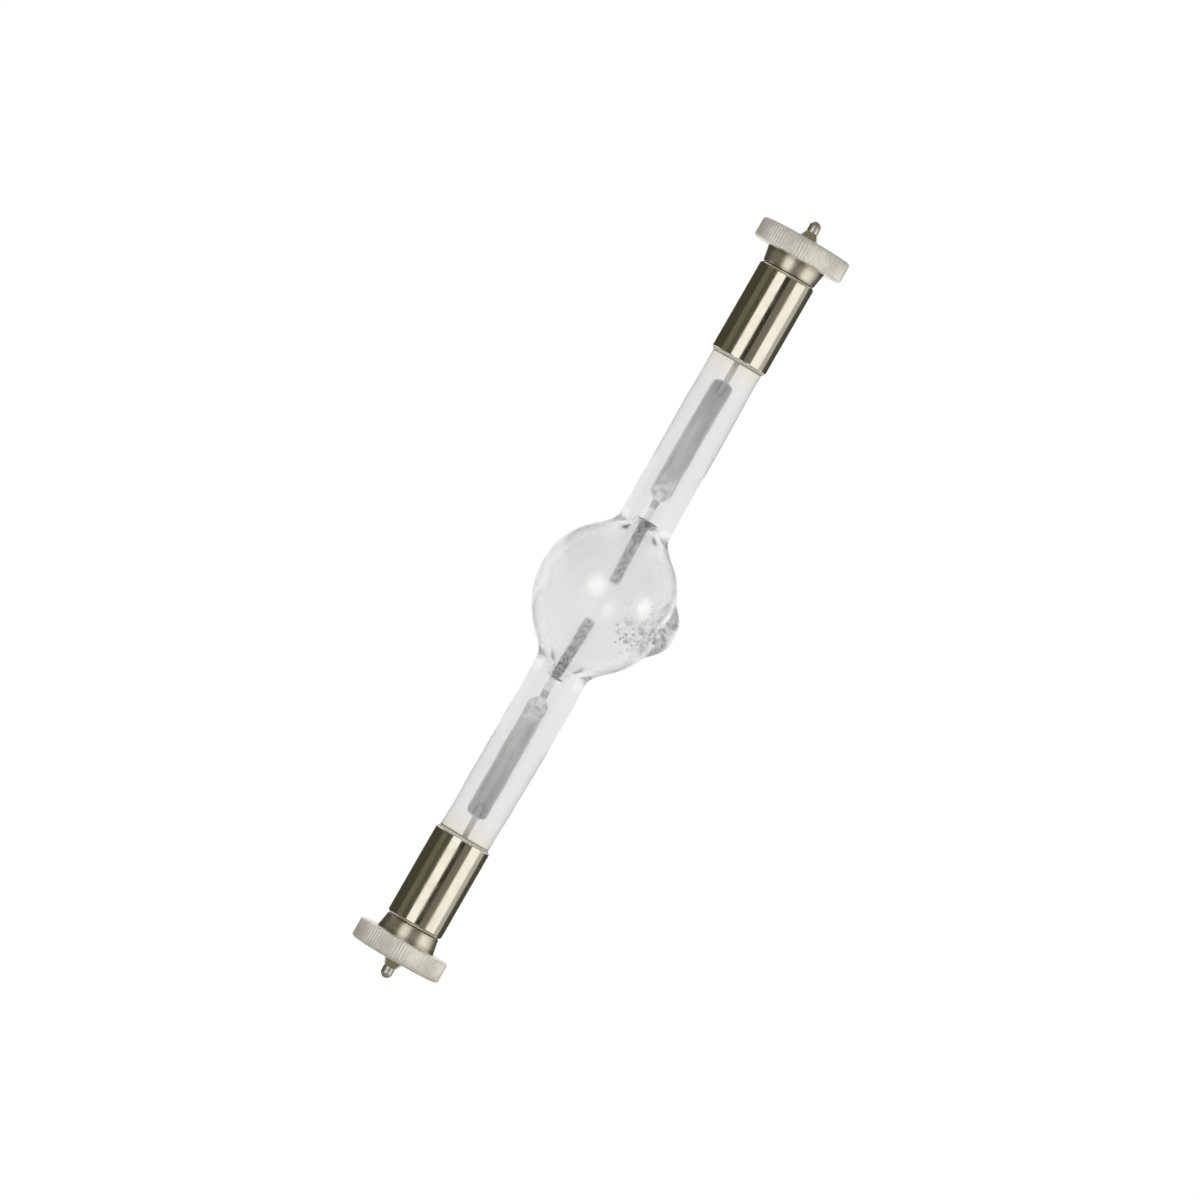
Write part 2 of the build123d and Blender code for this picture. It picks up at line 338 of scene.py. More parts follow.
# %% [markdown]
# ## The outline and the lathe
# Glass, caps, nuts and electrodes are all turned: each is an outline, swept round the lamp's
# axis. On the real lamp they come from a glass lathe and a metal lathe. A Screw modifier could do
# that, but a Geometry Nodes lathe also cuts what follows a rule on the turned skin: the stud's
# thread and the nut's knurling are one groove whose phase runs round and along, and the quartz
# has the slight ripple of hand work. The outline is a row of points that carry how much of the
# groove and of the ripple each of them takes.

# %% Start a Geometry Nodes tree
def new_tree(name, inputs):
    """A tree that takes and gives a geometry, with the named inputs: label to (kind, start)."""
    tree = bpy.data.node_groups.new(name, "GeometryNodeTree")
    door = tree.interface.new_socket
    door("Geometry", in_out="INPUT", socket_type="NodeSocketGeometry")
    for label, (kind, start) in inputs.items():
        socket = door(label, in_out="INPUT", socket_type="NodeSocket" + kind)
        if start is not None:
            socket.default_value = start
    door("Geometry", in_out="OUTPUT", socket_type="NodeSocketGeometry")
    given = tree.nodes.new("NodeGroupInput").outputs
    result = tree.nodes.new("NodeGroupOutput").inputs["Geometry"]
    return tree, given, result


def close_tree(tree, geometry, material, result):
    """Every tree ends the same way: real geometry, smooth faces and a finish."""
    real = add(tree, "GeometryNodeRealizeInstances", {0: geometry}).outputs[0]
    smooth = add(tree, "GeometryNodeSetShadeSmooth", {"Geometry": real}).outputs[0]
    dressed = add(tree, "GeometryNodeSetMaterial", {"Geometry": smooth, "Material": material})
    tree.links.new(dressed.outputs[0], result)


# %% Build the lathe tree: the grid and its outline
lathe, given, lathe_result = new_tree("lathe", {
    "Sides": ("Int", 64),
    "Crowding": ("Float", 0.0),
    "Crowded angle": ("Float", 0.0),
    "Groove starts": ("Float", 0.0),
    "Groove turns per metre": ("Float", 0.0),
    "Groove depth": ("Float", 0.0),
    "Ripple": ("Float", 0.0),
    "Ripple length": ("Float", 0.01),
    "Seed": ("Float", 0.0),
    "Material": ("Material", None),
})
outline = given["Geometry"]
row = add(lathe, "GeometryNodeAttributeDomainSize", {0: outline}).outputs["Point Count"]
columns = sums(lathe, "ADD", given["Sides"], 1)
feeds = {"Size X": 1.0, "Size Y": 1.0, "Vertices X": row, "Vertices Y": columns}
grid = add(lathe, "GeometryNodeMeshGrid", feeds).outputs["Mesh"]
flat = lathe.nodes.new("GeometryNodeInputPosition").outputs[0]
flat_x, flat_y, _ = add(lathe, "ShaderNodeSeparateXYZ", {0: flat}).outputs
last = sums(lathe, "SUBTRACT", row, 1)
number = sums(lathe, "ROUND", times(lathe, sums(lathe, "ADD", flat_x, 0.5), last))


def from_outline(value, kind):
    """Read a value of the outline's point that this part of the grid belongs to."""
    read = add(lathe, "GeometryNodeSampleIndex", data_type=kind, domain="POINT")
    lathe.links.new(outline, read.inputs["Geometry"])
    lathe.links.new(value, next(s for s in read.inputs if s.name == "Value" and s.enabled))
    lathe.links.new(number, read.inputs["Index"])
    return next(s for s in read.outputs if s.enabled)


point = from_outline(flat, "FLOAT_VECTOR")
along, radius, _ = add(lathe, "ShaderNodeSeparateXYZ", {0: point}).outputs


def share(name):
    """How much of the groove or the ripple an outline's point takes."""
    named = add(lathe, "GeometryNodeInputNamedAttribute", {"Name": name}, data_type="FLOAT")
    return from_outline(named.outputs[0], "FLOAT")


# %% Build the lathe tree: the turn, the groove and the ripple
turned = times(lathe, flat_y, 2 * pi)
pull = times(lathe, sums(lathe, "SINE", turned), given["Crowding"])
angle = sums(lathe, "ADD", given["Crowded angle"], sums(lathe, "SUBTRACT", turned, pull))
rounds = times(lathe, sums(lathe, "DIVIDE", angle, 2 * pi), given["Groove starts"])
advance = times(lathe, along, given["Groove turns per metre"])
phase = sums(lathe, "FRACT", sums(lathe, "ADD", sums(lathe, "SUBTRACT", rounds, advance), 1000.0))
valley = sums(lathe, "ABSOLUTE", sums(lathe, "SUBTRACT", times(lathe, phase, 2.0), 1.0))
cut = times(lathe, rise(lathe, valley, 0.1, 0.9), given["Groove depth"])
cut = times(lathe, cut, share("groove"))


def ring_point(distance):
    """The point at that distance from the axis, at this part's place along and round it."""
    feeds = {0: along, 1: times(lathe, distance, sums(lathe, "COSINE", angle)),
             2: times(lathe, distance, sums(lathe, "SINE", angle))}
    return add(lathe, "ShaderNodeCombineXYZ", feeds).outputs[0]


fine = sums(lathe, "DIVIDE", 1.0, given["Ripple length"])
feeds = {"Vector": ring_point(radius), "W": given["Seed"], "Scale": fine, "Detail": 1.0}
noise = add(lathe, "ShaderNodeTexNoise", feeds, noise_dimensions="4D").outputs[0]
wave = times(lathe, sums(lathe, "SUBTRACT", noise, 0.5), given["Ripple"])
wave = times(lathe, wave, share("ripple"))
skin = sums(lathe, "ADD", sums(lathe, "SUBTRACT", radius, cut), wave)
spun = add(lathe, "GeometryNodeSetPosition", {"Geometry": grid, "Position": ring_point(skin)})
closed = add(lathe, "GeometryNodeMergeByDistance", {"Geometry": spun.outputs[0], "Distance": 1e-7})
close_tree(lathe, closed.outputs[0], given["Material"], lathe_result)
print("lathe tree has", len(lathe.nodes), "nodes")

# %% Run a tree and keep its mesh
def run_tree(tree, host_mesh, name, values):
    """Give a mesh to a tree, set the named inputs, and keep the result as a plain mesh."""
    host = placed("host_" + name, host_mesh)
    worker = host.modifiers.new("worker", "NODES")
    worker.node_group = tree
    for item in tree.interface.items_tree:
        if item.in_out == "INPUT" and item.name in values:
            worker[item.identifier] = values[item.name]
    graph = bpy.context.evaluated_depsgraph_get()
    mesh = bpy.data.meshes.new_from_object(host.evaluated_get(graph))
    bpy.data.objects.remove(host)
    mesh.name = name
    print(f"{name}: {len(mesh.vertices)} points")
    return mesh


def spin(name, outline_points, side, values):
    """Turn an outline of (along, radius, groove, ripple) round the axis, at one end of the lamp."""
    points = [(side * p[0], *p[1:]) for p in outline_points][::side]
    mesh = bpy.data.meshes.new("outline_" + name)
    mesh.from_pydata([(p[0], p[1], 0.0) for p in points], [], [])
    for label, place in (("groove", 2), ("ripple", 3)):
        stored = mesh.attributes.new(label, "FLOAT", "POINT")
        stored.data.foreach_set("value", [p[place] for p in points])
    return run_tree(lathe, mesh, name, values)


def piece_of(mesh, body, slot, *stands_for):
    """Make a piece of a finished mesh, put it on its body and hide the CAD nodes it stands for."""
    made = placed(mesh.name, mesh)
    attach(made, body)
    if stands_for:
        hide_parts(*stands_for)
    print(f"{made.name}: {sum(len(f.vertices) - 2 for f in mesh.polygons)} triangles")
    return made


# %% [markdown]
# ## Quartz: its finish
# Fused quartz is clear, so its look is nearly all in what it does to the light behind it. The
# shader is real glass with quartz's index of refraction. Its tint gives the pale grey of the
# stems, warmer where they come near the hot caps, and a bump of long faint draw lines moves the
# things seen through it, as hand-worked quartz does.

# %% A new finish
def new_finish(name, **constants):
    """A material with one Principled shader, its constants set on the shader itself."""
    finish = bpy.data.materials.new(name)
    finish.use_nodes = True
    shader = finish.node_tree.nodes["Principled BSDF"]
    for label, value in constants.items():
        shader.inputs[label.replace("_", " ")].default_value = value
    place = finish.node_tree.nodes.new("ShaderNodeTexCoord").outputs["Object"]
    print("finish:", name)
    return finish, finish.node_tree, shader, place


def speckle(tree, place, size, stretch=(1, 1, 1), detail=3.0, roughness=0.5):
    """Noise with grains of about that size in metres, stretched along the axes."""
    feeds = {"Vector": place, "Scale": tuple(1 / (size * s) for s in stretch)}
    spaced = add(tree, "ShaderNodeMapping", feeds).outputs[0]
    feeds = {"Vector": spaced, "Scale": 1.0, "Detail": detail, "Roughness": roughness}
    return add(tree, "ShaderNodeTexNoise", feeds).outputs[0]


def bump(tree, shader, height, strength, distance):
    """Let a pattern move the surface's normal."""
    feeds = {"Height": height, "Strength": strength, "Distance": distance}
    made = add(tree, "ShaderNodeBump", feeds)
    tree.links.new(made.outputs[0], shader.inputs["Normal"])


# %% Soft blots at chosen places
def vectors(tree, operation, first, second):
    """One sum on two vectors."""
    return add(tree, "ShaderNodeVectorMath", {0: first, 1: second}, operation=operation).outputs[0]


def scaled(tree, vector, amount):
    """A vector made longer or shorter."""
    return add(tree, "ShaderNodeVectorMath", {0: vector, 3: amount}, operation="SCALE").outputs[0]


def blots(tree, place, stains, ragged):
    """Soft blots, seen from above, at rows of (x, y, half width, depth) in mm. Noise frays them."""
    feeds = {"Vector": place, "Scale": 1 / (1.1 * mm), "Detail": 4.0, "Roughness": 0.6}
    fray = add(tree, "ShaderNodeTexNoise", feeds).outputs["Color"]
    fray = scaled(tree, vectors(tree, "SUBTRACT", fray, (0.5, 0.5, 0.5)), ragged)
    seen = vectors(tree, "MULTIPLY", vectors(tree, "ADD", place, fray), (1, 1, 0))
    darkest = 0.0
    for x, y, half_width, depth in stains:
        away = far_from(tree, seen, (x * mm, y * mm, 0))
        spot = rise(tree, away, half_width * mm, 0.2 * half_width * mm, 0.0, depth)
        darkest = sums(tree, "MAXIMUM", darkest, spot)
    return darkest


# %% Places on the lamp, and masks made of them
def coordinates(tree, place):
    """A place along the lamp, across it and upwards, and how far out along the lamp it is."""
    x_along, y_across, z_up = add(tree, "ShaderNodeSeparateXYZ", {0: place}).outputs
    return x_along, y_across, z_up, sums(tree, "ABSOLUTE", x_along)


def off_axis(tree, place):
    """How far each place lies from the lamp's axis."""
    return far_from(tree, vectors(tree, "MULTIPLY", place, (0, 1, 1)))


def band(tree, value, start, full, fade, end):
    """A mask that is 1 while the value lies between full and fade, and 0 outside start and end."""
    return times(tree, rise(tree, value, start, full), rise(tree, value, end, fade))


def darker(tree, amount, colour, tint):
    """A colour that a tint darkens as far as the amount says."""
    return mixed(tree, amount, colour, mixed(tree, 1.0, colour, tint, "MULTIPLY"))


# %% Quartz, outside
quartz_ior = 1.46
plain_quartz, warm_quartz, left_quartz = grey(0.80), (0.80, 0.77, 0.68, 1.0), grey(0.85)
clear_quartz, cloudy_tint, tip_mark_grey = grey(1.0), grey(0.955), grey(0.30)
quartz_skin, tree, shader, place = new_finish("quartz_skin", IOR=quartz_ior)
x_along, y_across, z_up, out_along = coordinates(tree, place)
near_cap = rise(tree, out_along, cap_rim - 5 * mm, cap_rim)
clear = mixed(tree, near_cap, plain_quartz, warm_quartz)
# Painted light: the bulb's tint is paler on its left side and round its rim, where the glass is
# seen edge on
on_bulb = rise(tree, out_along, 14 * mm, 9 * mm)
left_side = times(tree, rise(tree, x_along, 4 * mm, -5 * mm), on_bulb)
clear = mixed(tree, left_side, clear, left_quartz)
from_axis = off_axis(tree, place)
at_rim = rise(tree, sums(tree, "ABSOLUTE", z_up), 8 * mm, 4 * mm)
at_rim = times(tree, at_rim, rise(tree, from_axis, 5.2 * mm, 7.5 * mm))
clear = mixed(tree, at_rim, clear, clear_quartz)
cloud = speckle(tree, place, 6 * mm, (2, 1, 1))
clear = darker(tree, rise(tree, cloud, 0.3, 0.75), clear, cloudy_tint)
# Painted shade: a soft bluish darkening over the shoulder away from the tip
shade_at, shade_tint = (7 * mm, 8 * mm, 0.0), (0.90, 0.90, 0.915, 1.0)
shaded = rise(tree, far_from(tree, place, shade_at), 12 * mm, 3 * mm)
clear = darker(tree, shaded, clear, shade_tint)
# Grey marks on the upper side, round the foot of the tip, that darken the glass and take some of
# its clearness
tip_marks = (
    (2.4, -12.9, 0.8, 1.0), (1.9, -12.8, 0.9, 0.95), (0.5, -11.6, 1.2, 0.95),
    (-0.2, -12.1, 1.0, 0.8), (-0.8, -12.6, 1.1, 0.95), (-1.5, -12.9, 0.7, 0.8),
    (-1.4, -11.0, 1.2, 0.9), (1.6, -10.5, 1.3, 0.5), (-0.1, -10.5, 1.5, 0.65),
    (-1.2, -8.6, 1.1, 0.75), (-0.7, -5.9, 1.5, 0.6), (-3.7, -7.2, 1.1, 0.75),
    (-3.1, -5.0, 0.8, 0.6), (-3.2, -8.8, 1.4, 0.5), (2.3, -8.5, 1.0, 0.5),
    (3.0, -8.0, 0.8, 0.4), (1.6, -4.2, 1.3, 0.32))
tip_marks_ragged = 2.0 * mm
tip_marking = times(tree, blots(tree, place, tip_marks, tip_marks_ragged), rise(tree, z_up, 0.0, 1 * mm))
patchy = speckle(tree, place, 0.55 * mm, detail=4.0, roughness=0.65)
patchy = rise(tree, patchy, 0.36, 0.6, 0.5, 1.0)
tip_marking = times(tree, tip_marking, patchy)
give(tree, shader, Transmission_Weight=sums(tree, "SUBTRACT", 1.0, tip_marking))
# The flame drew the glass out thin at the tip and where the stems begin. There its tint is lifted
# to clear white: painted light that pales the dark shading of the glass's bends
tip_place = (0.4 * mm, -13.3 * mm, 0.0)
at_tip = rise(tree, far_from(tree, place, tip_place), 4.8 * mm, 3.2 * mm)
foot = band(tree, out_along, 10.8 * mm, 12 * mm, 14.5 * mm, 16 * mm)
foot = times(tree, foot, rise(tree, sums(tree, "ABSOLUTE", y_across), 2.6 * mm, 3.6 * mm))
clear = mixed(tree, sums(tree, "MAXIMUM", at_tip, foot), clear, clear_quartz)
clear = mixed(tree, rise(tree, tip_marking, 0.1, 0.9), clear, tip_mark_grey)
give(tree, shader, Base_Color=clear)
# The same places are a little matt, and so is the bulb's rim
flamed = sums(tree, "MAXIMUM", times(tree, at_tip, 0.22), times(tree, foot, 0.25))
flamed = sums(tree, "MAXIMUM", flamed, times(tree, at_rim, 0.21))
smooth = rise(tree, cloud, 0.3, 0.8, 0.13, 0.18)
give(tree, shader, Roughness=sums(tree, "MAXIMUM", smooth, flamed))
bump(tree, shader, speckle(tree, place, 1.6 * mm, (7, 1, 1), 2.0), 0.08, 0.1 * mm)

# %% [markdown]
# ## Quartz: the inside of the bulb
# After some hours of burning the inner wall is no longer clean. Tungsten leaves a dark ring
# where each electrode enters, and salts dry as a grey film round the hollow of the tip. The
# inner wall therefore has its own finish: glass again, which turns into a thin matt film where
# a mask of distance and noise says so.

# %% Quartz, inside
quartz_bore, tree, shader, place = new_finish("quartz_bore", IOR=quartz_ior)
x_along, y_across, z_up, out_along = coordinates(tree, place)
# Duller round the rim, where the wall is seen edge on
from_axis = off_axis(tree, place)
at_rim = rise(tree, sums(tree, "ABSOLUTE", z_up), 4.5 * mm, 2 * mm)
at_rim = times(tree, at_rim, rise(tree, from_axis, 3 * mm, 6 * mm))
give(tree, shader, Roughness=rise(tree, at_rim, 0.0, 1.0, 0.15, 0.21))
grain = speckle(tree, place, 0.9 * mm, detail=5.0, roughness=0.65)
# Dark ring at each end of the discharge space: the right one lies on the side of the tip
ring = rise(tree, out_along, 13.9 * mm, 14.5 * mm)
ring = times(tree, ring, rise(tree, grain, 0.35, 0.65, 0.3, 1.0))
right_ring = rise(tree, y_across, 1.1 * mm, 0.4 * mm, 0.25, 0.75)
left_ring = rise(tree, y_across, -0.7 * mm, 0.2 * mm, 0.15, 0.7)
which = rise(tree, x_along, -1 * mm, 1 * mm)
feeds = {0: which, 2: left_ring, 3: right_ring}
ring_tone = add(tree, "ShaderNodeMix", feeds, data_type="FLOAT").outputs[0]
ring = times(tree, ring, ring_tone)
# Painted shade: the neck's wall is darkened where the eye meets it edge on, more on the side away
# from the tip
edge_on = rise(tree, sums(tree, "ABSOLUTE", z_up), 1.6 * mm, 0.7 * mm)
neck_from = rise(tree, x_along, -1 * mm, 1 * mm, 10.2 * mm, 12.9 * mm)
past_neck = sums(tree, "SUBTRACT", out_along, neck_from)
neck = times(tree, rise(tree, past_neck, 0.0, 0.9 * mm), edge_on)
neck = times(tree, neck, rise(tree, y_across, -1.5 * mm, 1.2 * mm, 0.06, 0.34))
neck = times(tree, neck, rise(tree, grain, 0.3, 0.6, 0.4, 1.0))
# From here the ring mask also holds the neck's painted shade
ring = sums(tree, "MAXIMUM", ring, neck)
# Film on the upper wall: a thin grey haze that crowds towards the tip, with darker blots in it
film_at, film_half = (-1.2 * mm, -8.4 * mm), (4.6 * mm, 5.2 * mm)
feeds = {"Vector": place, "Location": (-film_at[0] / film_half[0], -film_at[1] / film_half[1], 0),
         "Scale": (1 / film_half[0], 1 / film_half[1], 0)}
away = far_from(tree, add(tree, "ShaderNodeMapping", feeds).outputs[0])
upper = rise(tree, z_up, -1 * mm, 1 * mm)
patch = times(tree, rise(tree, away, 1.0, 0.2), upper)
fleck = times(tree, rise(tree, grain, 0.40, 0.66), 0.34)
smear = times(tree, rise(tree, speckle(tree, place, 2.2 * mm), 0.35, 0.7), 0.20)
film = times(tree, patch, sums(tree, "MAXIMUM", fleck, smear))
film = times(tree, film, rise(tree, y_across, -11.2 * mm, -9.8 * mm, 0.25, 1.0))
blot_places = (
    (-0.7, -5.8, 1.5, 0.2), (-3.5, -7.1, 0.8, 0.3), (-3.1, -5.0, 0.7, 0.25), (-3.0, -8.9, 1.2, 0.2),
    (5.0, -9.3, 1.5, 0.15), (-4.6, -8.0, 1.2, 0.25))
blot_ragged = 1.6 * mm
blot = blots(tree, place, blot_places, blot_ragged)
blot = times(tree, blot, rise(tree, grain, 0.3, 0.65, 0.35, 0.9))
film = sums(tree, "MAXIMUM", film, times(tree, blot, upper))
# The wall's mask joins the real ring and film with the neck's painted shade
soil_and_shade = sums(tree, "MAXIMUM", ring, film)
haze = rise(tree, speckle(tree, place, 7 * mm), 0.3, 0.8, 0.0, 0.04)
soil_and_shade = sums(tree, "MAXIMUM", soil_and_shade, haze)
clean_wall, soiled_and_shaded_wall = grey(0.96), grey(0.30, 0.02)
wall_tone = mixed(tree, rise(tree, soil_and_shade, 0.05, 0.8), clean_wall, soiled_and_shaded_wall)
clear_glass = sums(tree, "SUBTRACT", 1.0, soil_and_shade)
give(tree, shader, Base_Color=wall_tone, Transmission_Weight=clear_glass)
bump(tree, shader, grain, 0.1, 0.05 * mm)

# %% [markdown]
# ## Quartz: its shape
# The bulb's outline is two arcs that lean on cones, as in the CAD, and the stems are plain rods.
# A soft maximum joins them, as hot glass flows. The outer skin and the wall of the discharge
# space are two outlines in one mesh. The tip is not round about the lamp's axis, so it is drawn
# out of the finished skin afterwards, where the lathe has crowded its points.

# %% The bulb's outline
widest_at = 1.0 * mm
right_past_axis, right_angle = 1.15 * mm, radians(49)
left_past_axis, left_angle = 3.4 * mm, radians(46.5)
bulb_wall = 2.1 * mm
stem_radius = 4.6 * mm


def bulb_outline(x, crown):
    """Radius of the bulb at x, for an outline whose widest ring has the given radius."""
    past, lean = (right_past_axis, right_angle) if x > widest_at else (left_past_axis, left_angle)
    arc = crown + past
    reach = abs(x - widest_at)
    arc_end = arc * sin(lean)
    if reach < arc_end:
        return sqrt(arc**2 - reach**2) - past
    return arc * cos(lean) - past - (reach - arc_end) * tan(lean)


def flow(first, second, width):
    """The larger of two heights, with the corner between them filled over that width."""
    return np.maximum(first, second) + np.maximum(width - abs(first - second), 0)**2 / (4 * width)


# %% The quartz's outer outline, from the right end to the left
def steps(start, end, length):
    """Evenly spaced places from start to end, about that length apart, without the last."""
    count = max(1, round(abs(end - start) / length))
    return list(np.linspace(start, end, count, endpoint=False))


core, bulb_foot, ripple_stop = 6 * mm, 18 * mm, cap_rim - 4 * mm
half = steps(stem_end, bulb_foot, 0.9 * mm) + steps(bulb_foot, core, 0.35 * mm)
xs = half + steps(core, -core, 0.2 * mm) + [-x for x in reversed(half)]
ripple_room = 0.04 * mm
crown = bulb_radius - ripple_room
right_stem_extra, left_stem_extra, foot_fillet = 0.10 * mm, 0.16 * mm, 1.5 * mm
outer = [(stem_end, 0.0, 0.0, 0.0)]
for x in xs:
    soft = np.interp(abs(x), [10 * mm, 16 * mm, ripple_stop - 6 * mm, ripple_stop], [0.25, 1, 1, 0])
    stem = stem_radius + (right_stem_extra if x > 0 else left_stem_extra) * soft
    outer.append((x, float(flow(bulb_outline(x, crown), stem, foot_fillet)), 0.0, float(soft)))
outer.append((-stem_end, 0.0, 0.0, 0.0))
print("outer outline has", len(outer), "points")

# %% The discharge space's outline, from the left end to the right
neck_mouth, dome_start, cavity_end, tail_radius = 2.4 * mm, 14.389 * mm, 15.389 * mm, 0.45 * mm
inner_crown, neck_fillet = bulb_radius - bulb_wall, 0.7 * mm
# Place of the neck's mouth, radius where the dome starts and how blunt the dome is, at each end
necks = {1: (12.489 * mm, 1.65 * mm, 3.0), -1: (11.762 * mm, 1.25 * mm, 2.0)}


def bore_radius(x):
    """Radius of the discharge space at x: the bulb, a tapered neck, then a small dome."""
    out = abs(x)
    mouth, neck_end, blunt = necks[1 if x > 0 else -1]
    if out > dome_start:
        rest = min(1.0, (out - dome_start) / (cavity_end - dome_start))
        return tail_radius + (neck_end - tail_radius) * (1 - rest**blunt)**(1 / blunt)
    taper = neck_mouth - (out - mouth) * (neck_mouth - neck_end) / (dome_start - mouth)
    return float(flow(bulb_outline(x, inner_crown), min(taper, 3 * neck_mouth), neck_fillet))


belly, belly_core = 12 * mm, 3 * mm
half = steps(cavity_end, belly, 0.15 * mm) + steps(belly, belly_core, 0.35 * mm)
xs = half + steps(belly_core, -belly_core, 0.14 * mm) + [-x for x in reversed(half)]
inner = [(x, bore_radius(x), 0.0, float(abs(x) < belly)) for x in reversed(xs)]
inner = [(-cavity_end, 0.0, 0.0, 0.0)] + inner + [(cavity_end, 0.0, 0.0, 0.0)]
print("inner outline has", len(inner), "points")

# %% Spin both shells
tip_side = pi
crowded = {"Sides": 176, "Crowding": 0.6, "Crowded angle": tip_side}
outer_shell = spin("quartz_outside", outer, 1, crowded | {
    "Ripple": 0.35 * mm, "Ripple length": 7 * mm, "Seed": 3.0, "Material": quartz_skin})
inner_shell = spin("quartz_inside", inner, 1, crowded | {
    "Ripple": 0.2 * mm, "Ripple length": 5 * mm, "Seed": 8.0, "Material": quartz_bore})

# %% [markdown]
# ## Quartz: the exhaust tip
# The bulb was filled through a thin tube on its side, which the flame then melted off. It left a
# low clear boss outside and a narrow hollow inside. Both are heights over the tip's own axis, so
# each point of the skin near it simply moves out to that height, and a soft maximum lets the
# boss flow into the bulb.

# %% Draw out the tip and its hollow
tip_at = 0.42 * mm


def draw_out(mesh, within, fillet, under_end, drop, half_width, power):
    """Move the points near the tip's axis out to a dome that falls away steeper and steeper."""
    points = np.empty(len(mesh.vertices) * 3)
    mesh.vertices.foreach_get("co", points)
    points = points.reshape(-1, 3)
    distance = np.hypot(points[:, 0] - tip_at, points[:, 2])
    near = (distance < within) & (points[:, 1] < 0)
    dome = tip_end - under_end - drop * (distance[near] / half_width)**power
    drawn = flow(-points[near, 1], dome, fillet)
    points[near, 1] = -drawn
    mesh.vertices.foreach_set("co", points.ravel())
    mesh.update()
    print(f"{mesh.name}: {near.sum()} points drawn out to {drawn.max() / mm:.2f} mm")


# The boss outside, then the hollow inside it
draw_out(outer_shell, within=6.5 * mm, fillet=2.6 * mm,
         under_end=0.34 * mm, drop=0.41 * mm, half_width=2.45 * mm, power=3.1)
draw_out(inner_shell, within=3 * mm, fillet=0.6 * mm,
         under_end=1.2 * mm, drop=2.75 * mm, half_width=1.62 * mm, power=5)

# %% Let the glass sway off the axis, as hand-worked glass does
sway_at = [v * mm for v in (-46, -40, -18, -15, -13, -8, -5, 0, 5, 12, 18, 30, 42)]
sway_by = [v * mm for v in (0, 0.15, 0.24, 0.14, 0.15, 0.34, 0.32, 0.22, 0.20, 0.27, 0.15, 0.12, 0)]


def sway(mesh):
    """Move each point to -Y by the sway at its place along the lamp."""
    for vertex in mesh.vertices:
        vertex.co.y -= float(np.interp(vertex.co.x, sway_at, sway_by))


sway(outer_shell)
sway(inner_shell)
print("largest sway in mm:", max(sway_by) / mm)

# %% Join the shells into the quartz envelope
def joined(name, meshes):
    """Several meshes as one, each with its own finish."""
    parts = [placed(mesh.name, mesh) for mesh in meshes]
    with bpy.context.temp_override(active_object=parts[0], selected_editable_objects=parts):
        bpy.ops.object.join()
    mesh = parts[0].data
    bpy.data.objects.remove(parts[0])
    mesh.name = name
    return mesh


wall_patch = inner_shell.copy()
piece_of(joined("quartz_glass", [outer_shell, inner_shell]), "lamp", "quartz", "quartz_envelope")

# %% [markdown]
# ## Electrodes
# Each electrode is a thick ground tungsten rod in the bulb, with a thin tail that runs through
# the seal to the foil. Arc heat has etched the heads, so their grey is mottled, darker at the
# root. In the photograph neither stands quite true: the heads lie a little to the tip's side.
# The lathe makes the rod, and a small shear gives it that lean.

# %% Tungsten
tungsten, tree, shader, place = new_finish("tungsten", Metallic=1.0)
*_, out_along = coordinates(tree, place)
etched = speckle(tree, place, 0.52 * mm, (1, 0.8, 0.8), 4.0, 0.6)
colour = mixed(tree, rise(tree, etched, 0.36, 0.64), grey(0.26, 0.01), grey(0.95, 0.01))
dark_root = rise(tree, out_along, 9.5 * mm, 14.2 * mm, 1.0, 0.78)
root_grey = add(tree, "ShaderNodeCombineColor", dict.fromkeys(range(3), dark_root)).outputs[0]
colour = mixed(tree, 1.0, colour, root_grey, "MULTIPLY")
pale_tail = rise(tree, out_along, 15.2 * mm, 15.6 * mm)
colour = mixed(tree, pale_tail, colour, grey(0.97))
dark_spot = band(tree, out_along, 17.2 * mm, 17.9 * mm, 18.7 * mm, 19.2 * mm)
colour = mixed(tree, times(tree, dark_spot, 0.85), colour, grey(0.58))
give(tree, shader, Base_Color=colour, Roughness=rise(tree, etched, 0.2, 0.8, 0.38, 0.62))
bump(tree, shader, etched, 0.5, 0.06 * mm)

# %% Rounded corners for outlines
def rounded(corners, groove=0.0, ripple=0.0, pieces=4):
    """An outline through (along, radius, rounding) corners, each corner with its own small arc."""
    points = []
    for number, (x, y, size) in enumerate(corners):
        here = Vector((x, y))
        if size == 0 or number in (0, len(corners) - 1):
            points.append((x, y, groove, ripple))
            continue
        before = (Vector(corners[number - 1][:2]) - here).normalized()
        after = (Vector(corners[number + 1][:2]) - here).normalized()
        half_angle = before.angle(after) / 2
        back = size / tan(half_angle)
        middle = here + (before + after).normalized() * (size / sin(half_angle))
        start, stop = here + before * back - middle, here + after * back - middle
        for step in range(pieces + 1):
            spoke = start.lerp(stop, step / pieces).normalized() * size + middle
            points.append((spoke.x, spoke.y, groove, ripple))
    return points


def fill_in(points, length):
    """The same outline with more points, so that no run is longer than that length."""
    filled = []
    for first, second in zip(points, points[1:]):
        run = np.hypot(second[0] - first[0], second[1] - first[1])
        count = max(1, int(np.ceil(run / length)))
        for step in range(count):
            part = step / count
            filled.append(tuple(a + (b - a) * part for a, b in zip(first, second)))
    return filled + [points[-1]]


# %% Turn the electrodes
arc_half, tail_end = electrode_low.x, electrode_high.x
head_radius, head_end = 0.9 * mm, cavity_end - 0.4 * mm
foil_off_centre = 0.1 * mm
lean = 0.036
root_shift = {"left": 0.18 * mm, "right": -0.03 * mm}


def lean_over(mesh, slope, shift, root, tail):
    """Shear a rod's head to -Y, shift its root, and lead its tail back to the foil's middle."""
    for vertex in mesh.vertices:
        out = abs(vertex.co.x)
        back = np.interp(out, [root, tail], [shift, foil_off_centre])
        vertex.co.y += float(back) - slope * max(0.0, root - out)


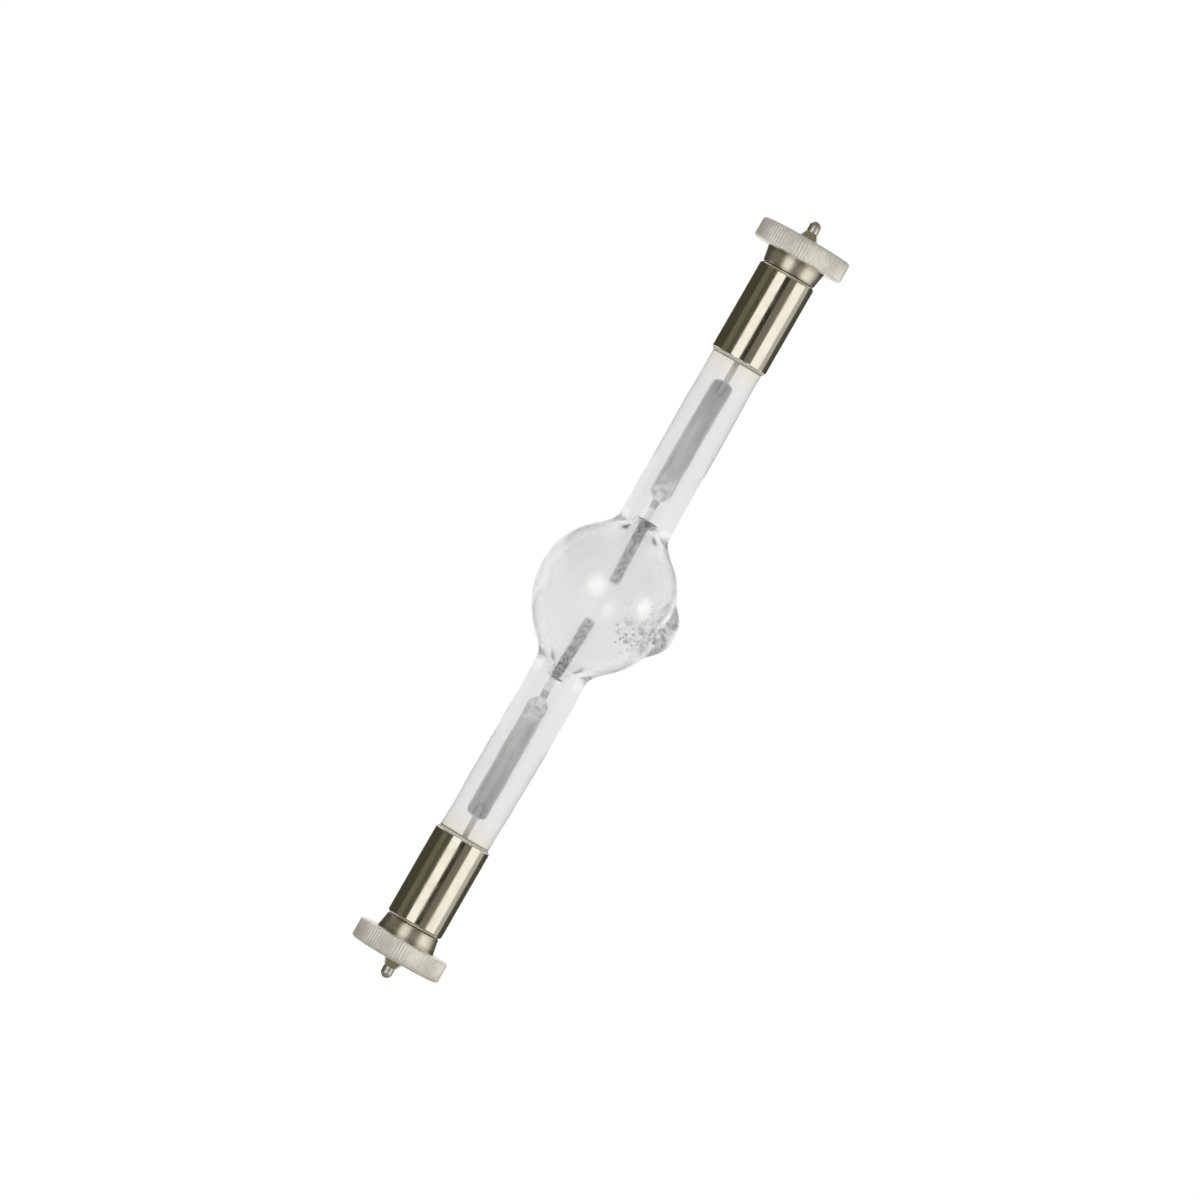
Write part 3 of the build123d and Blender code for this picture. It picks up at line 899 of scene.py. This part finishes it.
electrode_outline = rounded([
    (tail_end, 0.0, 0), (tail_end, tail_radius, 0.08 * mm), (head_end, tail_radius, 0.1 * mm),
    (head_end, head_radius, 0.15 * mm), (arc_half, head_radius, 0.35 * mm), (arc_half, 0.0, 0)],
    ripple=1.0)
for end, side in sides.items():
    mesh = spin(f"electrode_rod_{end}", fill_in(electrode_outline, 0.25 * mm), side, {
        "Sides": 40, "Ripple": 0.24 * mm, "Ripple length": 0.8 * mm, "Seed": 20.0 + side,
        "Material": tungsten})
    lean_over(mesh, lean, root_shift[end], head_end, foil_low.x)
    piece_of(mesh, "lamp", "tungsten", f"electrode_{end}")

# %% [markdown]
# ## Foils
# The current passes the solid quartz in a ribbon of molybdenum, so thin that the quartz can grip
# it without cracking. Its edges are etched to a feather, so the ribbon is built here as a grid
# with a lens-shaped section, tapered ends and the slight cockle of thin metal. It is paler where
# the quartz near the bulb has kept it bright, and a pale loop lies on it near the tail's end.

# %% Molybdenum
molybdenum, tree, shader, place = new_finish("molybdenum", Metallic=1.0)
_, y_across, _, out_along = coordinates(tree, place)
rolled = speckle(tree, place, 0.5 * mm, (14, 1, 1), 4.0, 0.6)
bright_foil, dull_foil = (0.72, 0.715, 0.70, 1.0), (0.57, 0.56, 0.585, 1.0)
pale = mixed(tree, rise(tree, out_along, 28 * mm, 42 * mm), bright_foil, dull_foil)
mottle = rise(tree, speckle(tree, place, 1.1 * mm), 0.35, 0.65)
welded = mixed(tree, mottle, grey(0.70, 0.01), grey(1.0))
pale = mixed(tree, rise(tree, out_along, 24.5 * mm, 21.5 * mm), pale, welded)
colour = mixed(tree, rise(tree, rolled, 0.3, 0.75, 0.0, 0.35), pale, grey(0.53))
# A pale loop on the ribbon near the tail's end
loop_at = (20.9 * mm, 0, 0)
on_ribbon = add(tree, "ShaderNodeCombineXYZ", {0: out_along, 1: y_across}).outputs[0]
loop = band(tree, far_from(tree, on_ribbon, loop_at), 0.25 * mm, 0.6 * mm, 0.75 * mm, 1.15 * mm)
colour = mixed(tree, times(tree, loop, 0.6), colour, grey(0.98))
off_middle = sums(tree, "ABSOLUTE", sums(tree, "SUBTRACT", y_across, foil_off_centre))
feather = rise(tree, off_middle, 0.8 * mm, 1.2 * mm)
from_start = sums(tree, "SUBTRACT", out_along, foil_low.x)
to_stop = sums(tree, "SUBTRACT", foil_high.x, out_along)
at_ends = rise(tree, sums(tree, "MINIMUM", from_start, to_stop), 0.7 * mm, 0.0)
feather = sums(tree, "MAXIMUM", feather, at_ends)
colour = mixed(tree, times(tree, feather, 0.5), colour, grey(1.0))
give(tree, shader, Base_Color=colour, Roughness=rise(tree, rolled, 0.2, 0.8, 0.42, 0.6))
bump(tree, shader, rolled, 0.25, 0.03 * mm)

# %% Roll the foils
foil_start, foil_stop = foil_low.x, foil_high.x
foil_middle = (foil_low.z + foil_high.z) / 2
foil_half, foil_thick = foil_high.y, foil_high.z - foil_low.z


def foil_mesh(name, side, rows=120, columns=12):
    """A thin closed ribbon: a top and a bottom grid that meet along feathered edges."""
    waves, wave_height = (9 * mm, 5.3 * mm, 3.1 * mm), 0.04 * mm
    twist_length, twist_height = 11 * mm, 0.05 * mm
    narrowing, taper_length, feather_thick = 0.75 * mm, 1.5 * mm, 0.001 * mm
    cockle = np.random.default_rng(41 + side).uniform(0, 2 * pi, 4)
    points, faces = [], []
    for row_number in range(rows + 1):
        x = foil_start + (foil_stop - foil_start) * row_number / rows
        to_end, blunt = min((x - foil_start, 2), (foil_stop - x, 4))
        half_wide = foil_half - narrowing * (1 - min(1.0, to_end / taper_length))**blunt
        bend = sum(sin(x * 2 * pi / wave + start) for wave, start in zip(waves, cockle))
        bend /= len(waves)
        for column in range(2 * columns):
            top = column <= columns
            across = 2 * (column if top else 2 * columns - column) / columns - 1
            swell = foil_thick / 2 * (1 - across**2) + feather_thick
            twist = across * twist_height * sin(x * 2 * pi / twist_length + cockle[3])
            z = foil_middle + (swell if top else -swell) + wave_height * bend + twist
            points.append((side * x, across * half_wide + foil_off_centre, z))
    ring = 2 * columns
    for row_number in range(rows):
        for column in range(ring):
            first, second = row_number * ring + column, row_number * ring + (column + 1) % ring
            faces.append((first, second, second + ring, first + ring)[::-side])
    faces.append(tuple(range(ring))[::-side])
    faces.append(tuple(rows * ring + n for n in range(ring))[::side])
    mesh = bpy.data.meshes.new(name)
    mesh.from_pydata(points, [], faces)
    mesh.shade_smooth()
    mesh.set_sharp_from_angle(angle=radians(60))
    mesh.materials.append(molybdenum)
    return mesh


for end, side in sides.items():
    piece_of(foil_mesh(f"foil_ribbon_{end}", side), "lamp", "molybdenum", f"foil_{end}")

# %% [markdown]
# ## Caps and their threads
# A cap is turned from one piece of brass: a thin sleeve over the stem, an end wall, and a stud
# with an M4 thread that ends in a cone. Nickel plating makes it bright. The outline runs round
# the sleeve's inside as well, so that the cap is the hollow piece that it really is. Only the
# stud's points take the groove, which turns once round for each 0.7 mm and so becomes a thread.

# %% Bright nickel
cap_plating, tree, shader, place = new_finish("cap_plating", Metallic=1.0)
lathe_marks = speckle(tree, place, 0.25 * mm, (0.5, 6, 6), 3.0)
wear = speckle(tree, place, 3.5 * mm, detail=5.0, roughness=0.6)
fresh_nickel, worn_nickel = (0.90, 0.875, 0.80, 1.0), (0.84, 0.80, 0.70, 1.0)
colour = mixed(tree, rise(tree, wear, 0.35, 0.75), fresh_nickel, worn_nickel)
give(tree, shader, Base_Color=colour, Roughness=rise(tree, wear, 0.3, 0.8, 0.10, 0.22))
bump(tree, shader, lathe_marks, 0.12, 0.02 * mm)

# %% Turn the caps
sleeve_wall, end_wall, bore_of_stud = 0.3 * mm, 2.0 * mm, 0.55 * mm
shoulder = nut_low.x - 0.05 * mm
cap_floor = shoulder - end_wall
thread_start, thread_stop = shoulder + 0.6 * mm, nut_high.x
crest, undercut, cone_tip = 2.0 * mm, 1.6 * mm, 1.05 * mm
thread_pitch = 0.7 * mm
plain = fill_in(rounded([
    (cap_floor, bore_of_stud, 0), (cap_floor, cap_radius - sleeve_wall, 0.1 * mm),
    (cap_rim, cap_radius - sleeve_wall, 0.05 * mm), (cap_rim, cap_radius, 0.12 * mm),
    (shoulder, cap_radius, 0.6 * mm), (shoulder, undercut, 0.08 * mm),
    (thread_start, undercut, 0.05 * mm), (thread_start, crest - 0.1 * mm, 0)][::-1]), 0.8 * mm)
thread_rings = np.linspace(thread_stop - 0.1 * mm, thread_start + 0.1 * mm, 70)
thread = [(x, crest, 1.0, 0.0) for x in thread_rings]
thread[0], thread[-1] = (thread[0][0], crest, 0.0, 0.0), (thread[-1][0], crest, 0.6, 0.0)
cone = rounded([
    (stud_tip, bore_of_stud, 0), (stud_tip, cone_tip, 0.1 * mm),
    (thread_stop, crest - 0.1 * mm, 0)])
cap_outline = cone + thread + plain + [(stud_tip, bore_of_stud, 0.0, 0.0)]
for end, side in sides.items():
    mesh = spin(f"plated_cap_{end}", cap_outline, side, {
        "Sides": 96, "Groove starts": 1.0, "Groove turns per metre": 1 / thread_pitch,
        "Groove depth": 0.38 * mm, "Material": cap_plating})
    mesh.set_sharp_from_angle(angle=radians(40))
    piece_of(mesh, "lamp", "cap_plating", f"cap_{end}")

# %% [markdown]
# ## Knurled nuts
# A nut clamps the cable's eyelet on the stud. Its rim is knurled for the fingers: ninety
# straight grooves, rolled into the disc. The same lathe tree cuts them, with ninety starts and
# no advance along the axis. The nickel on the nuts is satin, and its grain dulls the stripes
# that the caps show.

# %% Satin nickel
nut_plating, tree, shader, place = new_finish("nut_plating")
satin = speckle(tree, place, 0.35 * mm, detail=5.0, roughness=0.7)
tone = speckle(tree, place, 3 * mm)
pale_satin, dark_satin = (0.90, 0.85, 0.76, 1.0), (0.80, 0.76, 0.66, 1.0)
# Painted shade for the hub's two corners
corner_shade_paint = (0.20, 0.17, 0.12, 1.0)
colour = mixed(tree, rise(tree, tone, 0.3, 0.7), pale_satin, dark_satin)
# The turned hub is smoother than the disc. Its two corners, under the disc and against the cap, are
# darkened with painted shade
disc_start = nut_low.x + 2.8 * mm
*_, out_along = coordinates(tree, place)
on_disc = rise(tree, out_along, disc_start - 0.06 * mm, disc_start - 0.01 * mm)
outer_corner = rise(tree, out_along, disc_start - 1.2 * mm, disc_start - 0.2 * mm, 0.0, 0.5)
inner_corner = rise(tree, out_along, nut_low.x + 0.7 * mm, nut_low.x + 0.1 * mm, 0.0, 0.4)
corner = sums(tree, "MAXIMUM", outer_corner, inner_corner)
hub_colour = mixed(tree, corner, colour, corner_shade_paint)
patches = rise(tree, speckle(tree, place, 1.4 * mm), 0.35, 0.65, 0.35, 0.85)
blotched = mixed(tree, patches, colour, grey(1.0, 0.03))
colour = mixed(tree, on_disc, hub_colour, blotched)
rubbed = rise(tree, satin, 0.2, 0.8, 0.0, 0.12)
rough = sums(tree, "ADD", rise(tree, on_disc, 0.0, 1.0, 0.26, 0.34), rubbed)
metal = rise(tree, on_disc, 0.0, 1.0, 1.0, 0.72)
give(tree, shader, Base_Color=colour, Roughness=rough, Metallic=metal)
bump(tree, shader, satin, 0.3, 0.02 * mm)

# %% Turn the nuts
nut_bore, hub_seat, hub_top, disc_radius = 2.05 * mm, 4.8 * mm, 5.3 * mm, nut_high.z
knurls, knurl_depth = 90, 0.15 * mm
edge = 0.35 * mm
hub = fill_in(rounded([
    (nut_low.x + 0.5 * mm, nut_bore, 0), (nut_low.x, nut_bore + 0.5 * mm, 0),
    (nut_low.x, hub_seat, 0.15 * mm), (disc_start, hub_top, 0.12 * mm),
    (disc_start, disc_radius - edge, 0)]), 0.5 * mm)
# Each row of the rim: place along the lamp, radius, and how deep the knurls go there
rim = [(x, disc_radius - edge * below, knurled, 0.0) for x, below, knurled in (
    (disc_start, 1, 0.0), (disc_start + edge * 0.6, 0.25, 0.8), (disc_start + edge, 0, 1.0),
    (nut_high.x - edge, 0, 1.0), (nut_high.x - edge * 0.6, 0.25, 0.8), (nut_high.x, 1, 0.0))]
face = rounded([
    (nut_high.x, disc_radius - edge, 0), (nut_high.x, nut_bore + 0.5 * mm, 0.05 * mm),
    (nut_high.x - 0.5 * mm, nut_bore, 0), (nut_low.x + 0.5 * mm, nut_bore, 0)])
nut_outline = (hub[:-1] + rim[:-1] + face)[::-1]
for end, side in sides.items():
    mesh = spin(f"nut_{end}_turned", nut_outline, side, {
        "Sides": knurls * 8, "Groove starts": float(knurls), "Groove depth": knurl_depth,
        "Material": nut_plating})
    mesh.set_sharp_from_angle(angle=radians(40))
    piece_of(mesh, f"nut_{end}", "nut_plating", f"knurled_nut_{end}")

# %% [markdown]
# ## Droplets and specks
# When the lamp is cold its filling has settled on the wall: mercury in small round beads and
# dark salt in finer specks, most of them on the wall near the tip. Hundreds of specks by hand
# would look laid out, so a second tree scatters them on the inner wall, with a density painted
# on the wall and a fixed seed, and gives each its own size.

# %% Build the scatter tree
scatter, given, scatter_result = new_tree("scatter_specks", {
    "Specks per square metre": ("Float", 1e6),
    "Seed": ("Int", 1),
    "Smallest": ("Float", 0.00005),
    "Largest": ("Float", 0.0002),
    "Flatness": ("Float", 0.5),
    "Sink": ("Float", 0.3),
    "Material": ("Material", None),
})
painted = add(scatter, "GeometryNodeInputNamedAttribute", {"Name": "dew"}, data_type="FLOAT")
density = times(scatter, painted.outputs[0], given["Specks per square metre"])
spread = add(scatter, "GeometryNodeDistributePointsOnFaces", {
    "Mesh": given["Geometry"], "Density": density, "Seed": given["Seed"]})
chance = add(scatter, "FunctionNodeRandomValue", {"Seed": given["Seed"]}, data_type="FLOAT")
chance = next(s for s in chance.outputs if s.enabled)
few_large = sums(scatter, "POWER", chance, 2.5)
size = rise(scatter, few_large, 0.0, 1.0, given["Smallest"], given["Largest"])
height = times(scatter, size, given["Flatness"])
shape = add(scatter, "ShaderNodeCombineXYZ", {0: size, 1: size, 2: height}).outputs[0]
bead = add(scatter, "GeometryNodeMeshIcoSphere", {"Radius": 1.0, "Subdivisions": 2}).outputs["Mesh"]
lift = times(scatter, height, given["Sink"])
lift = scaled(scatter, spread.outputs["Normal"], lift)
feeds = {"Geometry": spread.outputs["Points"], "Offset": lift}
raised = add(scatter, "GeometryNodeSetPosition", feeds).outputs[0]
feeds = {"Points": raised, "Instance": bead, "Rotation": spread.outputs["Rotation"], "Scale": shape}
beads = add(scatter, "GeometryNodeInstanceOnPoints", feeds).outputs[0]
close_tree(scatter, beads, given["Material"], scatter_result)

# %% Salt and mercury
halide_fill, tree, shader, place = new_finish("halide_fill", Roughness=0.3)
crust = speckle(tree, place, 0.4 * mm, detail=4.0)
salt_or_bead = mixed(tree, rise(tree, crust, 0.35, 0.65), grey(0.34), grey(0.62, 0.02))
give(tree, shader, Base_Color=salt_or_bead, Metallic=rise(tree, crust, 0.4, 0.6, 1.0, 0.2))
bump(tree, shader, crust, 0.3, 0.03 * mm)

# %% Paint the wall and scatter
points = np.array([v.co for v in wall_patch.vertices])
along_x, across_y, up_z = points.T
swarm_at, swarm_half = (-2.2 * mm, -7.4 * mm), (2.3 * mm, 2.5 * mm)
tip_share, tip_reach, lower_share, thinnest = 0.05, 2.2 * mm, 0.45, 0.04
below_tip = np.exp(-(np.hypot(along_x - tip_at, up_z) / tip_reach)**2) * (across_y < 0)
off_x = (along_x - swarm_at[0]) / swarm_half[0]
off_y = (across_y - swarm_at[1]) / swarm_half[1]
swarm = np.exp(-off_x**2 - off_y**2) * np.where(up_z > 0, 1.0, lower_share)
dew = np.clip(below_tip * tip_share + swarm, 0, 1)
dew[dew < thinnest] = 0.0
stored = wall_patch.attributes.new("dew", "FLOAT", "POINT")
stored.data.foreach_set("value", dew.astype(np.float32))
specks = run_tree(scatter, wall_patch, "salt_specks", {
    "Specks per square metre": 4.6e6, "Seed": 12, "Smallest": 0.03 * mm, "Largest": 0.20 * mm,
    "Flatness": 0.35, "Sink": 0.1, "Material": halide_fill})
piece_of(specks, "lamp", "halide_fill", "fill_droplets")

# %% [markdown]
# ## Leads, cement and solder
# These keep their CAD shapes, which are right, and get their finishes: the drawn molybdenum
# lead between foil and stud, the grainy cement that fills the cap and shows as a ring at its
# rim, and the tinned bead that closes the stud.

# %% Drawn wire, cement and solder
lead_wire, tree, shader, place = new_finish("lead_wire", Metallic=1.0)
drawn = speckle(tree, place, 0.12 * mm, (30, 1, 1))
*_, out_along = coordinates(tree, place)
on_foil = rise(tree, out_along, foil_high.x, foil_high.x - 0.4 * mm)
bare_wire = mixed(tree, drawn, grey(0.54, 0.02), grey(0.84, 0.02))
colour = mixed(tree, on_foil, bare_wire, grey(0.50))
give(tree, shader, Base_Color=colour, Roughness=rise(tree, drawn, 0.2, 0.8, 0.35, 0.5))
bump(tree, shader, drawn, 0.2, 0.02 * mm)

cement_finish, tree, shader, place = new_finish("cement_finish")
sand = speckle(tree, place, 0.25 * mm, detail=6.0, roughness=0.7)
pale_sand, dark_sand = (0.60, 0.57, 0.50, 1.0), (0.44, 0.41, 0.35, 1.0)
colour = mixed(tree, rise(tree, sand, 0.3, 0.7), pale_sand, dark_sand)
give(tree, shader, Base_Color=colour, Roughness=rise(tree, sand, 0.2, 0.8, 0.75, 0.95))
bump(tree, shader, sand, 0.6, 0.06 * mm)

solder, tree, shader, place = new_finish("solder", Metallic=1.0)
dull = speckle(tree, place, 0.45 * mm, detail=4.0)
colour = mixed(tree, rise(tree, dull, 0.35, 0.65), grey(0.99), grey(0.82, 0.01))
give(tree, shader, Base_Color=colour, Roughness=rise(tree, dull, 0.2, 0.8, 0.28, 0.5))
bump(tree, shader, dull, 0.35, 0.08 * mm)

for end in sides:
    for node_name, finish, slot in ((f"outer_lead_{end}", lead_wire, "molybdenum"),
                                    (f"cement_{end}", cement_finish, "cement"),
                                    (f"solder_bead_{end}", solder, "solder")):
        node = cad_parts[node_name]
        node.material_slots[0].material = finish
print("CAD nodes kept:", [n for n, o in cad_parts.items() if not o.hide_render])
